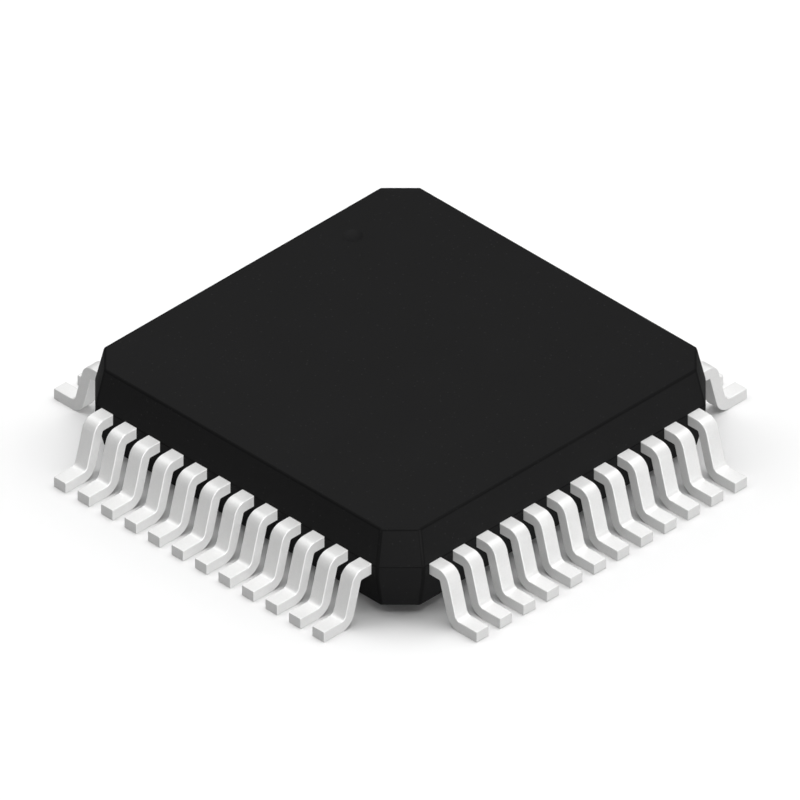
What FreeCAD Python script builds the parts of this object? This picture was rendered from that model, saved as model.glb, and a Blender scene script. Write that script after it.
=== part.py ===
import FreeCAD, Part
import math
import os

import Sketcher

# A quad flat pack: a square moulded chip package with twelve gull-wing leads on each side.
# Lengths are millimetres and angles are degrees. The origin is on the seating plane, where the
# feet rest, under the middle of the moulding, and +Z points up. The leads are numbered
# anticlockwise seen from above, from the +Y end of the -X side, next to the round mark.

SIZES = {
    # The moulding: flats at the parting line, corner cuts, two drafted halves, gap to the board.
    "body_span": "7.0",
    "corner_cut": "0.5",
    "upper_height": "0.61",
    "lower_height": "0.61",
    "draft_angle": "12.5",
    "standoff": "0.15",
    # The round first-lead mark, set in from the two nearest sides of the moulding.
    "mark_width": "0.34",
    "mark_depth": "0.04",
    "mark_inset_x": "0.73",
    "mark_inset_y": "1.75",
    # The four round ejector marks under the moulding, set in from its sides.
    "ejector_width": "0.9",
    "ejector_depth": "0.03",
    "ejector_inset": "1.2",
    # The leads outside the moulding. A row fills the flat of its side up to the end gaps, which
    # gives the pitch, and the reach runs from the side to the toe. The radii are on the inside of
    # each bend, and the slant is measured from the vertical.
    "leads_per_side": "12",
    "row_end_gap": "0.12",
    "lead_width": "0.26",
    "strip_thickness": "0.19",
    "lead_reach": "1.0",
    "shoulder_length": "0.19",
    "shoulder_radius": "0.03",
    "foot_radius": "0.1",
    "slant_angle": "15.0",
    # The fingers inside: a straight root in the moulding's edge, then a fan to the paddle. The
    # corner gap is what stays clear between the last tip and the tie bar beside it.
    "root_depth": "0.38",
    "tip_width": "0.16",
    "tip_gap": "0.25",
    "tip_corner_gap": "0.13",
    # The paddle, set down below the leads, and its tie bars.
    "paddle_span": "4.0",
    "paddle_downset": "0.2",
    "tie_width": "0.16",
    "tie_run": "0.1",
    "tie_slope": "45.0",
    "tie_cover": "0.1",
    # The die on its layer of adhesive.
    "die_span": "2.8",
    "die_thickness": "0.28",
    "adhesive_thickness": "0.03",
    "adhesive_margin": "0.1",
    # The bond wires, from a row of pads along each of the die's edges to the finger tips.
    "pad_inset": "0.1",
    "pad_corner_gap": "0.3",
    "wire_thickness": "0.03",
    "loop_height": "0.15",
    "loop_run": "0.22",
    "landing_inset": "0.14",
}

SIDES = ("left", "front", "right", "back")
TINY = 1e-6


class Size:
    """A number together with the sheet formula that gives it, so that each rule is written once."""

    def __init__(self, formula, value):
        self.formula = formula
        self.value = value

    @staticmethod
    def of(other):
        return other if isinstance(other, Size) else Size(str(other), other)

    def __add__(self, other):
        other = Size.of(other)
        return Size(f"({self.formula} + {other.formula})", self.value + other.value)

    def __sub__(self, other):
        other = Size.of(other)
        return Size(f"({self.formula} - {other.formula})", self.value - other.value)

    def __mul__(self, other):
        other = Size.of(other)
        return Size(f"({self.formula} * {other.formula})", self.value * other.value)

    def __truediv__(self, other):
        other = Size.of(other)
        return Size(f"({self.formula} / {other.formula})", self.value / other.value)

    def __neg__(self):
        return Size(f"(0 - {self.formula})", -self.value)

    def sin(self):
        return Size(f"sin({self.formula})", math.sin(math.radians(self.value)))

    def cos(self):
        return Size(f"cos({self.formula})", math.cos(math.radians(self.value)))

    def tan(self):
        return Size(f"tan({self.formula})", math.tan(math.radians(self.value)))


def fill_sheet(doc):
    """Writes the driving dimensions to the sheet and returns them by name."""
    sheet = doc.addObject("Spreadsheet::Sheet", "sizes")
    for row, (name, text) in enumerate(SIZES.items(), start=1):
        sheet.set(f"A{row}", name)
        sheet.set(f"B{row}", text)
        sheet.setAlias(f"B{row}", name)
    doc.recompute()
    return {name: Size(f"sizes.{name}", float(sheet.get(name))) for name in SIZES}


def bind(feature, prop, size):
    feature.setExpression(prop, size.formula)


def origin_item(body, role):
    return next(item for item in body.Origin.OriginFeatures if item.Role == role)


def attach(item, body, role, height):
    """Lays a sketch or plane on one of the body's own origin planes, raised along its normal."""
    item.AttachmentSupport = [(origin_item(body, role), "")]
    item.MapMode = "FlatFace"
    if height is not None:
        bind(item, "AttachmentOffset.Base.z", height)
    return item


def plane_sketch(body, name, role, height=None):
    return attach(body.newObject("Sketcher::SketchObject", name), body, role, height)


def drive(sketch, kind, *where, size):
    """Adds one dimension to a sketch and ties it to the sheet."""
    value = math.radians(size.value) if kind == "Angle" else size.value
    index = sketch.addConstraint(Sketcher.Constraint(kind, *where, value))
    bind(sketch, f"Constraints[{index}]", size)


def pin(sketch, edge, end, x, y):
    """Places one end of an edge by its distances from the sketch's origin."""
    drive(sketch, "DistanceX", -1, 1, edge, end, size=x)
    drive(sketch, "DistanceY", -1, 1, edge, end, size=y)


def draw_polygon(sketch, corners):
    """Closes the corners with straight edges and pins each corner."""
    points = [FreeCAD.Vector(x.value, y.value, 0) for x, y in corners]
    count = len(points)
    for edge in range(count):
        sketch.addGeometry(Part.LineSegment(points[edge], points[(edge + 1) % count]), False)
    for edge, (x, y) in enumerate(corners):
        sketch.addConstraint(Sketcher.Constraint("Coincident", (edge - 1) % count, 2, edge, 1))
        pin(sketch, edge, 1, x, y)


def draw_circle(sketch, width, x, y):
    centre = FreeCAD.Vector(x.value, y.value, 0)
    normal = FreeCAD.Vector(0, 0, 1)
    sketch.addGeometry(Part.Circle(centre, normal, width.value / 2), False)
    drive(sketch, "Radius", 0, size=width / 2)
    pin(sketch, 0, 3, x, y)


def add_pad(body, name, sketch, length, **options):
    pad = body.newObject("PartDesign::Pad", name)
    pad.Profile = sketch
    bind(pad, "Length", length)
    for option, value in options.items():
        setattr(pad, option, value)
    return pad


def polar_pattern(body, name, feature, axis_role, count):
    """Repeats a feature round the body's own axis."""
    pattern = body.newObject("PartDesign::PolarPattern", name)
    pattern.Originals = [feature]
    pattern.Axis = (origin_item(body, axis_role), [""])
    pattern.Angle = 360
    pattern.Occurrences = count
    body.Tip = pattern
    return pattern


def cut_square(half, cut):
    """The corners of a square with its four corners cut at 45 degrees."""
    flat = half - cut
    corners = []
    for turn in range(4):
        ends = ((half, -flat), (half, flat))
        for _ in range(turn):
            ends = tuple((-y, x) for x, y in ends)
        corners.extend(ends)
    return corners


def side_faces(feature, low, high):
    """The names of the faces that stand upright between two heights."""
    names = []
    for number, face in enumerate(feature.Shape.Faces, start=1):
        box = face.BoundBox
        if box.ZLength > TINY and box.ZMin > low - TINY and box.ZMax < high + TINY:
            names.append(f"Face{number}")
    return names


def add_half(body, name, size, outline, level, height, downward):
    """One half of the moulding: a straight block whose sides are then drafted in from the band."""
    block = add_pad(body, name, outline, height, Reversed=downward, Refine=False)
    closing_plane = attach(body.newObject("PartDesign::Plane", f"{name}_plane"), body, "XY_Plane", level)
    body.Document.recompute()
    far = level - height if downward else level + height
    low, high = sorted((level.value, far.value))
    draft = body.newObject("PartDesign::Draft", f"{name}_draft")
    draft.Base = (block, side_faces(block, low, high))
    draft.NeutralPlane = (closing_plane, [""])
    draft.Reversed = downward
    bind(draft, "Angle", size["draft_angle"])


def make_moulding(doc, size):
    """The block of moulding compound before anything is bedded in it.

    Its two halves taper away from an upright band, as thick as the lead strip, that the mould
    halves close on. The same draft runs round the cut corners.
    """
    body = doc.addObject("PartDesign::Body", "moulding")
    corners = cut_square(size["body_span"] / 2, size["corner_cut"])
    band_bottom = size["standoff"] + size["lower_height"]
    band_top = band_bottom + size["strip_thickness"]

    lower_outline = plane_sketch(body, "lower_outline", "XY_Plane", band_bottom)
    draw_polygon(lower_outline, corners)
    add_pad(body, "band", lower_outline, size["strip_thickness"])
    upper_outline = plane_sketch(body, "upper_outline", "XY_Plane", band_top)
    draw_polygon(upper_outline, corners)
    add_half(body, "upper_half", size, upper_outline, band_top, size["upper_height"], False)
    add_half(body, "lower_half", size, lower_outline, band_bottom, size["lower_height"], True)
    add_first_lead_mark(body, size, band_top + size["upper_height"])
    add_ejector_marks(body, size)
    return body


def add_first_lead_mark(body, size, top):
    """A shallow dish in the top: the cap of a sphere as deep as the mark is."""
    radius_of_mark = size["mark_width"] / 2
    depth = size["mark_depth"]
    ball_radius = (radius_of_mark * radius_of_mark + depth * depth) / (depth * 2)
    ball = body.newObject("PartDesign::SubtractiveSphere", "first_lead_mark")
    bind(ball, "Radius", ball_radius)
    bind(ball, "Placement.Base.x", size["mark_inset_x"] - size["body_span"] / 2)
    bind(ball, "Placement.Base.y", size["body_span"] / 2 - size["mark_inset_y"])
    bind(ball, "Placement.Base.z", top - depth + ball_radius)


def add_ejector_marks(body, size):
    """Four round marks of the mould's ejector pins in the underside."""
    place = size["body_span"] / 2 - size["ejector_inset"]
    circle = plane_sketch(body, "ejector_circle", "XY_Plane", size["standoff"])
    draw_circle(circle, size["ejector_width"], place, place)
    mark = body.newObject("PartDesign::Pocket", "ejector_mark")
    mark.Profile = circle
    mark.Reversed = True
    bind(mark, "Length", size["ejector_depth"])
    polar_pattern(body, "ejector_marks", mark, "Z_Axis", 4)


def side_view(doc, name):
    """A sketch in the vertical plane through the row's middle: x is outward and y is up."""
    sketch = doc.addObject("Sketcher::SketchObject", name)
    sketch.Placement = FreeCAD.Placement(
        FreeCAD.Vector(0, 0, 0), FreeCAD.Rotation(FreeCAD.Vector(1, 0, 0), 90)
    )
    return sketch


def draw_gull_wing(sketch, size):
    """The side view that all the leads share: a strip bent down at the shoulder and out at the foot.

    Both bends keep the strip's thickness, so the two arcs of each share a centre.
    """
    strip = size["strip_thickness"]
    slant = size["slant_angle"]
    inner = size["shoulder_radius"]
    outer = inner + strip
    upper = size["foot_radius"]
    heel = upper + strip
    under = size["standoff"] + size["lower_height"]
    start = size["paddle_span"] / 2
    bend = size["body_span"] / 2 + size["shoulder_length"]
    toe = size["body_span"] / 2 + size["lead_reach"]
    drop = under - inner - strip - upper
    reach = (outer + upper + drop * slant.sin()) / slant.cos()

    shoulder = FreeCAD.Vector(bend.value, (under - inner).value, 0)
    foot = FreeCAD.Vector((bend + reach).value, heel.value, 0)
    shank_under = FreeCAD.Vector(start.value, under.value, 0)
    shank_over = FreeCAD.Vector(start.value, (under + strip).value, 0)
    toe_over = FreeCAD.Vector(toe.value, strip.value, 0)
    toe_under = FreeCAD.Vector(toe.value, 0, 0)

    def arc(centre, radius, first, last):
        circle = Part.Circle(centre, FreeCAD.Vector(0, 0, 1), radius.value)
        return Part.ArcOfCircle(circle, math.radians(first), math.radians(last))

    shoulder_over = arc(shoulder, outer, slant.value, 90)
    shoulder_under = arc(shoulder, inner, slant.value, 90)
    foot_over = arc(foot, upper, 180 + slant.value, 270)
    foot_under = arc(foot, heel, 180 + slant.value, 270)
    sketch.addGeometry([
        Part.LineSegment(shank_over, shoulder_over.EndPoint),
        shoulder_over,
        Part.LineSegment(shoulder_over.StartPoint, foot_over.StartPoint),
        foot_over,
        Part.LineSegment(foot_over.EndPoint, toe_over),
        Part.LineSegment(toe_over, toe_under),
        Part.LineSegment(toe_under, foot_under.EndPoint),
        foot_under,
        Part.LineSegment(foot_under.StartPoint, shoulder_under.StartPoint),
        shoulder_under,
        Part.LineSegment(shoulder_under.EndPoint, shank_under),
        Part.LineSegment(shank_under, shank_over),
    ], False)

    smooth = ((0, 2, 1, 2), (1, 1, 2, 1), (2, 2, 3, 1), (3, 2, 4, 1),
              (6, 2, 7, 2), (7, 1, 8, 1), (8, 2, 9, 1), (9, 2, 10, 1))
    square = ((4, 2, 5, 1), (5, 2, 6, 1), (10, 2, 11, 1), (11, 2, 0, 1))
    shared_centres = ((1, 3, 9, 3), (3, 3, 7, 3))
    level = (0, 4, 6, 10)
    upright = (5, 11)
    sketch.addConstraint(
        [Sketcher.Constraint("Tangent", *joint) for joint in smooth]
        + [Sketcher.Constraint("Coincident", *joint) for joint in square + shared_centres]
        + [Sketcher.Constraint("Horizontal", edge) for edge in level]
        + [Sketcher.Constraint("Vertical", edge) for edge in upright]
        + [Sketcher.Constraint("PointOnObject", 6, 1, -1)]
    )
    drive(sketch, "Radius", 9, size=inner)
    drive(sketch, "Radius", 3, size=upper)
    drive(sketch, "DistanceY", 11, 1, 11, 2, size=strip)
    drive(sketch, "DistanceY", 5, 2, 5, 1, size=strip)
    drive(sketch, "DistanceY", -1, 1, 10, 2, size=under)
    drive(sketch, "DistanceX", -1, 1, 10, 2, size=start)
    drive(sketch, "DistanceX", -1, 1, 0, 2, size=bend)
    drive(sketch, "DistanceX", -1, 1, 5, 1, size=toe)
    drive(sketch, "Angle", 2, size=slant - 90)


def leads_in_row(size):
    return round(size["leads_per_side"].value)


def last_root(size):
    """How far the last lead of a row stands from the row's middle."""
    flat = size["body_span"] / 2 - size["corner_cut"]
    return flat - size["row_end_gap"] - size["lead_width"] / 2


def lead_ends(size):
    """How far out from the middle the finger tips end and the straight roots begin."""
    tip = size["paddle_span"] / 2 + size["tip_gap"]
    root = size["body_span"] / 2 - size["root_depth"]
    return tip, root


def finger_places(size, place):
    """Where a lead's root and tip lie along the row, for its place counted from the row's end."""
    share = place * 2 / (leads_in_row(size) - 1) - 1
    tip, _ = lead_ends(size)
    beside_tie_bar = (size["tie_width"] / 2 + size["tip_corner_gap"]) * math.sqrt(2)
    last_tip = tip - beside_tie_bar - size["tip_width"] / 2
    return last_root(size) * share, last_tip * share


def draw_blank(sketch, size, place):
    """The stamped outline of one lead seen from above, run past the toe, where it is cropped."""
    root_y, tip_y = finger_places(size, place)
    tip_x, root_x = lead_ends(size)
    cropped_x = size["body_span"] / 2 + size["lead_reach"] + size["lead_width"]
    half_root = size["lead_width"] / 2
    half_tip = size["tip_width"] / 2
    draw_polygon(sketch, (
        (cropped_x, root_y - half_root),
        (cropped_x, root_y + half_root),
        (root_x, root_y + half_root),
        (tip_x, tip_y + half_tip),
        (tip_x, tip_y - half_tip),
        (root_x, root_y - half_root),
    ))


def extrude(doc, name, sketch, length):
    """A solid that runs as far on both sides of its sketch."""
    solid = doc.addObject("Part::Extrusion", name)
    solid.Base = sketch
    solid.DirMode = "Normal"
    solid.Solid = True
    solid.Symmetric = True
    bind(solid, "LengthFwd", length)
    return solid


def quarter_turns(side):
    """The left side comes first, and the pieces are drawn on the right side."""
    return FreeCAD.Placement(
        FreeCAD.Vector(0, 0, 0), FreeCAD.Rotation(FreeCAD.Vector(0, 0, 1), 180 + 90 * side)
    )


def make_leads(doc, size):
    """48 leads, each what its stamped outline and the shared bent strip have in common."""
    gull_wing = side_view(doc, "gull_wing")
    draw_gull_wing(gull_wing, size)
    bent_strip = extrude(doc, "bent_strip", gull_wing, size["body_span"])
    per_side = leads_in_row(size)
    blanks = []
    for place in range(per_side):
        outline = doc.addObject("Sketcher::SketchObject", f"blank_outline_{place + 1:02d}")
        draw_blank(outline, size, place)
        blanks.append(extrude(doc, f"blank_{place + 1:02d}", outline, size["body_span"]))
    leads = []
    for side in range(len(SIDES)):
        for place, blank in enumerate(blanks):
            lead = doc.addObject("Part::MultiCommon", f"lead_{side * per_side + place + 1:02d}")
            lead.Shapes = [bent_strip, blank]
            lead.Placement = quarter_turns(side)
            leads.append(lead)
    return leads


def paddle_top(size):
    return size["standoff"] + size["lower_height"] + size["strip_thickness"] - size["paddle_downset"]


def make_paddle(doc, size):
    """The square plate under the die, with a tie bar from each corner up to the lead level.

    The bars end inside the cut corners, and a mitre keeps each bend's strip as thick as the rest.
    """
    body = doc.addObject("PartDesign::Body", "die_paddle")
    strip = size["strip_thickness"]
    half = size["paddle_span"] / 2
    low = paddle_top(size) - strip
    high = low + size["paddle_downset"]

    square = plane_sketch(body, "paddle_outline", "XY_Plane", low)
    draw_polygon(square, ((half, -half), (half, half), (-half, half), (-half, -half)))
    add_pad(body, "paddle", square, strip)

    diagonal = math.sqrt(2)
    mitre = strip * (size["tie_slope"] / 2).tan()
    start = half * diagonal - size["tie_width"]
    rise_start = half * diagonal + size["tie_run"]
    rise_end = rise_start + size["paddle_downset"] / size["tie_slope"].tan()
    end = (size["body_span"] - size["corner_cut"]) * (diagonal / 2) - size["tie_cover"]
    bar = plane_sketch(body, "tie_bar_side", "XZ_Plane")
    bar.AttachmentOffset = FreeCAD.Placement(
        FreeCAD.Vector(0, 0, 0), FreeCAD.Rotation(FreeCAD.Vector(0, 1, 0), 45)
    )
    draw_polygon(bar, (
        (start, low),
        (rise_start, low),
        (rise_end, high),
        (end, high),
        (end, high + strip),
        (rise_end - mitre, high + strip),
        (rise_start - mitre, low + strip),
        (start, low + strip),
    ))
    tie_bar = add_pad(body, "tie_bar", bar, size["tie_width"], Midplane=True)
    polar_pattern(body, "tie_bars", tie_bar, "Z_Axis", 4)
    return body


def make_plate(doc, name, span, bottom, thickness):
    """A square plate centred on the package."""
    plate = doc.addObject("Part::Box", name)
    bind(plate, "Length", span)
    bind(plate, "Width", span)
    bind(plate, "Height", thickness)
    bind(plate, "Placement.Base.x", -span / 2)
    bind(plate, "Placement.Base.y", -span / 2)
    bind(plate, "Placement.Base.z", bottom)
    return plate


def wire_ends(size, place):
    """A wire's pad on the die and its landing on the lead's finger, both seen from above."""
    share = place * 2 / (leads_in_row(size) - 1) - 1
    root_y, tip_y = finger_places(size, place)
    tip_x, root_x = lead_ends(size)
    inset = size["landing_inset"]
    last_pad = size["die_span"] / 2 - size["pad_corner_gap"]
    pad_x = size["die_span"] / 2 - size["pad_inset"]
    pad_y = last_pad * share
    landing_y = tip_y + (root_y - tip_y) * inset / (root_x - tip_x)
    pad = FreeCAD.Vector(pad_x.value, pad_y.value, 0)
    landing = FreeCAD.Vector((tip_x + inset).value, landing_y.value, 0)
    return pad, landing


def wire_solid(size, place, pad_z, landing_z):
    """One bond wire of the right side, square in section and as thick as the round wire.

    It rises from its pad, runs level, and slopes down to a wedge that lies on the finger.
    """
    pad, landing = wire_ends(size, place)
    outward = landing - pad
    reach = outward.Length
    outward.normalize()
    upward = FreeCAD.Vector(0, 0, 1)

    thick = size["wire_thickness"].value
    loop_z = pad_z + size["loop_height"].value
    run = size["loop_run"].value
    fall = math.atan2(loop_z - landing_z, reach - run)
    wedge = thick / math.sin(fall)
    mitre = thick * math.tan(fall / 2)
    side = (
        (-thick / 2, pad_z),
        (-thick / 2, loop_z),
        (run, loop_z),
        (reach, landing_z),
        (reach - wedge, landing_z),
        (run - mitre, loop_z - thick),
        (thick / 2, loop_z - thick),
        (thick / 2, pad_z),
    )
    across = outward.cross(upward) * thick
    points = [pad + outward * u + upward * z - across / 2 for u, z in side]
    return Part.Face(Part.makePolygon(points + points[:1])).extrude(across)


def make_wires(doc, size, die_top):
    """The bond wires, one group of separate wires for each side."""
    lead_top = size["standoff"] + size["lower_height"] + size["strip_thickness"]
    per_side = leads_in_row(size)
    groups = []
    for side, name in enumerate(SIDES):
        wires = [wire_solid(size, place, die_top.value, lead_top.value) for place in range(per_side)]
        group = doc.addObject("Part::Feature", f"bond_wires_{name}")
        group.Shape = Part.makeCompound(wires)
        group.Placement = quarter_turns(side)
        groups.append(group)
    return groups


def bed(doc, moulding, leads, stack, wires):
    """The moulding less all that is bedded in it, so that every piece touches it face to face."""
    all_leads = doc.addObject("Part::Compound", "all_leads")
    all_leads.Links = leads
    around_leads = doc.addObject("Part::Cut", "around_leads")
    around_leads.Base = moulding
    around_leads.Tool = all_leads
    all_stack = doc.addObject("Part::MultiFuse", "all_stack")
    all_stack.Shapes = stack
    around_stack = doc.addObject("Part::Cut", "around_stack")
    around_stack.Base = around_leads
    around_stack.Tool = all_stack
    all_wires = doc.addObject("Part::Compound", "all_wires")
    all_wires.Links = wires
    package = doc.addObject("Part::Cut", "package_body")
    package.Base = around_stack
    package.Tool = all_wires
    return package


def check(doc, pieces):
    """Stops on any object that failed or any piece whose shape is missing or faulty."""
    for item in doc.Objects:
        if "Invalid" in item.State or "Error" in item.State:
            raise RuntimeError(f"{item.Label} did not compute: {item.State}")
    for piece in pieces:
        if piece.Shape.isNull() or not piece.Shape.isValid():
            raise RuntimeError(f"{piece.Label} has no sound shape")


def main():
    doc = FreeCAD.newDocument("quad_flat_pack")
    size = fill_sheet(doc)

    moulding = make_moulding(doc, size)
    leads = make_leads(doc, size)
    paddle = make_paddle(doc, size)
    adhesive_bottom = paddle_top(size)
    die_bottom = adhesive_bottom + size["adhesive_thickness"]
    adhesive_span = size["die_span"] + size["adhesive_margin"] * 2
    adhesive = make_plate(doc, "die_attach", adhesive_span, adhesive_bottom, size["adhesive_thickness"])
    die = make_plate(doc, "silicon_die", size["die_span"], die_bottom, size["die_thickness"])
    wires = make_wires(doc, size, die_bottom + size["die_thickness"])
    stack = [paddle, adhesive, die]
    package = bed(doc, moulding, leads, stack, wires)
    doc.recompute()

    pieces = [package] + leads + stack + wires
    check(doc, pieces)
    os.makedirs("parts", exist_ok=True)
    for piece in pieces:
        piece.Shape.exportStep(f"parts/{piece.Label}.step")
    print(f"{len(pieces)} pieces written, package volume {package.Shape.Volume:.3f} cubic mm")


main()
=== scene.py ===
# %% [markdown]
# # A quad flat pack chip
#
# A square block of black moulding compound with twelve bright gull-wing leads on each side. It is
# 7 mm across, so a hair is thick beside it, and what makes it look real is very small: the
# matt skin that the mould leaves, the soft edges of the stamped leads and the satin tin on them.
#
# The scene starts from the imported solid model. Every solid there has its true place, so it serves
# as the frame that the finer pieces are built on.

# %% Load the frame
import math

import bmesh
import bpy
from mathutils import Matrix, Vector


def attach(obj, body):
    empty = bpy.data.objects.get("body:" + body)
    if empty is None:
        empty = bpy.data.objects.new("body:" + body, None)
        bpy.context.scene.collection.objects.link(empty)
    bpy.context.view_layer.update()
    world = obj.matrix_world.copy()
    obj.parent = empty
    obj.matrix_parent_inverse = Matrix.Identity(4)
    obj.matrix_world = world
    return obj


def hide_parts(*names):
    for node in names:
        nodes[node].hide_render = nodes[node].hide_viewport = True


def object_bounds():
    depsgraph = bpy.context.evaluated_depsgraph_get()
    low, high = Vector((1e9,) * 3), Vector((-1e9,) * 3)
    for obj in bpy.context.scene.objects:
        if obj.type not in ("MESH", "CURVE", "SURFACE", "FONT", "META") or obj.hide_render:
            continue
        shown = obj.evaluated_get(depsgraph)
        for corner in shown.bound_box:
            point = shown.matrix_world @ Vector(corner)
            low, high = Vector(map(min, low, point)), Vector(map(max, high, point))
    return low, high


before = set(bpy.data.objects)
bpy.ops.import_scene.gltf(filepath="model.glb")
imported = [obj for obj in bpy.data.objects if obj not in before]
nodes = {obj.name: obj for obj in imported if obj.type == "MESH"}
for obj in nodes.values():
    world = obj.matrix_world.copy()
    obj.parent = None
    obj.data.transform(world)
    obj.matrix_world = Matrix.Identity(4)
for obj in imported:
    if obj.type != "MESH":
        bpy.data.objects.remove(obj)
cad_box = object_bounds()
print(len(nodes), "solids in the frame")

# %% [markdown]
# ## Millimetres
#
# A chip's drawing is in millimetres and Blender counts in metres. Keeping the drawing's numbers
# and changing the unit in one place is easier to check than long strings of zeros. The sizes of
# the block come first. Those of the leads and of the inner pieces follow where they are needed,
# and all of them are the ones that the solid model was made with.

# %% The block's sizes
MM = 0.001
BODY_SPAN = 7.0
CORNER_CUT = 0.5
DRAFT = math.radians(12.5)
UNDERSIDE, PARTING_LOW, PARTING_HIGH, TOP = 0.15, 0.76, 0.95, 1.56

span = [(high - low) / MM for low, high in zip(*cad_box)]
print("frame box in mm:", [round(length, 3) for length in span])

# %% [markdown]
# ## Making a finish from nodes
#
# A finish here is one principled shader with a few procedural textures. The textures are given in
# marks per millimetre, measured in the piece's own coordinates, so that a grain of 0.03 mm is
# 0.03 mm on the part whatever the size of the picture. These helpers keep each finish
# short enough to read as a recipe. The first four start one and measure out its textures.

# %% Helpers that start a finish
def new_finish(name, colour, metallic, roughness):
    """A principled material, its nodes and its shader."""
    material = bpy.data.materials.new(name)
    material.use_nodes = True
    tree = material.node_tree
    shader = tree.nodes["Principled BSDF"]
    shader.inputs["Base Color"].default_value = (*colour, 1)
    shader.inputs["Metallic"].default_value = metallic
    shader.inputs["Roughness"].default_value = roughness
    return material, tree, shader


def millimetres(tree, output="Object", stretch=(1, 1, 1)):
    """Coordinates that count millimetres, and may be stretched along an axis."""
    place = tree.nodes.new("ShaderNodeTexCoord")
    scale = tree.nodes.new("ShaderNodeMapping")
    unit = 1 / MM if output == "Object" else 1
    scale.inputs["Scale"].default_value = [unit * axis for axis in stretch]
    tree.links.new(place.outputs[output], scale.inputs["Vector"])
    return scale.outputs["Vector"]


def noise(tree, where, per_mm, detail, rough=0.5):
    """Soft random tone with so many marks to a millimetre."""
    node = tree.nodes.new("ShaderNodeTexNoise")
    node.inputs["Scale"].default_value = per_mm
    node.inputs["Detail"].default_value = detail
    node.inputs["Roughness"].default_value = rough
    tree.links.new(where, node.inputs["Vector"])
    return node.outputs["Fac"]


def specks(tree, where, per_mm):
    """Distance to scattered points: small near each speck."""
    node = tree.nodes.new("ShaderNodeTexVoronoi")
    node.inputs["Scale"].default_value = per_mm
    tree.links.new(where, node.inputs["Vector"])
    return node.outputs["Distance"]


print("the unit of the textures is", MM, "m")

# %% [markdown]
# A texture's tone runs from 0 to 1. The other three helpers turn it into what the shader needs:
# a number in a range, a colour between two, or a depth in the surface.

# %% Helpers that use a tone
def between(tree, value, low, high, start, end):
    """Turns a tone that runs from start to end into a number from low to high."""
    node = tree.nodes.new("ShaderNodeMapRange")
    node.inputs["From Min"].default_value = start
    node.inputs["From Max"].default_value = end
    node.inputs["To Min"].default_value = low
    node.inputs["To Max"].default_value = high
    tree.links.new(value, node.inputs["Value"])
    return node.outputs["Result"]


def blend(tree, value, first, second):
    """A colour between two, by a tone from 0 to 1. Each is a colour or the output of a node."""
    node = tree.nodes.new("ShaderNodeMix")
    node.data_type = "RGBA"
    for socket, colour in (("A", first), ("B", second)):
        if isinstance(colour, tuple):
            node.inputs[socket].default_value = (*colour, 1)
        else:
            tree.links.new(colour, node.inputs[socket])
    tree.links.new(value, node.inputs["Factor"])
    return node.outputs["Result"]


def relief(tree, height, depth_mm, below=None):
    """A bump whose full swing is a depth in millimetres, laid over another if there is one."""
    node = tree.nodes.new("ShaderNodeBump")
    node.inputs["Distance"].default_value = depth_mm * MM
    tree.links.new(height, node.inputs["Height"])
    if below is not None:
        tree.links.new(below, node.inputs["Normal"])
    return node.outputs["Normal"]


print("finish helpers ready")

# %% [markdown]
# ## Moulding compound
#
# The body is epoxy filled with ground silica and blackened with carbon. The mould it comes out of
# is spark eroded, which leaves a fine even pitting of about 0.03 mm, so the compound looks
# matt although the resin itself is glossy. Here and there a filler grain shows as a paler
# speck, and the resin's flow leaves a faint cloudiness. A plain dark colour would look like rubber.
# Three layers of noise, each at its own scale, carry the pitting, the specks and the clouds.
#
# The mould's corners are ground by hand and hardly pitted, so the rims they leave are smoother.
# They get the same recipe with less pitting, a lower roughness and a darker pair of colours. The
# darker colours are painted shade, which draws a fine dark line round every face.

# %% The matt black of the moulding
GRAIN_BRIGHTNESS = 1.7
GLOSS_SWING = 0.06
CLOUD_DEPTH = 0.004


def make_compound(name, dark, light, roughness, pit_depth):
    """Black moulding compound, cloudy between a dark and a light grey."""
    material, tree, shader = new_finish(name, light, 0, roughness)
    where = millimetres(tree)
    clouds = noise(tree, where, per_mm=0.9, detail=3)
    pitting = noise(tree, where, per_mm=26, detail=3, rough=0.6)
    grains = specks(tree, where, per_mm=9)

    grain = tuple(GRAIN_BRIGHTNESS * tone for tone in light)
    off_grain = between(tree, grains, 0, 1, start=0.05, end=0.14)
    colour = blend(tree, off_grain, grain, blend(tree, clouds, dark, light))
    tree.links.new(colour, shader.inputs["Base Color"])

    smooth, rough = roughness - GLOSS_SWING, roughness + GLOSS_SWING
    uneven = between(tree, clouds, smooth, rough, start=0.3, end=0.7)
    tree.links.new(uneven, shader.inputs["Roughness"])
    shader.inputs["Specular IOR Level"].default_value = 0.04
    skin = relief(tree, clouds, CLOUD_DEPTH)
    tree.links.new(relief(tree, pitting, pit_depth, skin), shader.inputs["Normal"])
    return material


FLAT_DARK, FLAT_LIGHT = (0.0096, 0.0096, 0.0098), (0.0129, 0.0129, 0.0132)
# The rims' colours are darker than the flats': painted shade that draws a dark line on each rim.
RIM_DARK, RIM_LIGHT = (0.0057, 0.0057, 0.0058), (0.0075, 0.0075, 0.0077)
compound = make_compound("mould_compound", FLAT_DARK, FLAT_LIGHT, roughness=0.62, pit_depth=0.003)
painted_edge_shade = make_compound("painted_edge_shade", RIM_DARK, RIM_LIGHT, roughness=0.5, pit_depth=0.001)
print("compound:", len(compound.node_tree.nodes), "nodes")

# %% [markdown]
# ## Tin plate
#
# The leads are plated with matt tin after moulding. It isn't a mirror: the deposit is made
# of grains a few thousandths of a millimetre wide, which spread the light like frosted silver.
# The strip underneath was rolled, so faint lines run along each lead. The lines
# need coordinates that follow the bent strip, and those come from the lead's own UV map, which is
# laid out in millimetres along and round the strip.

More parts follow.
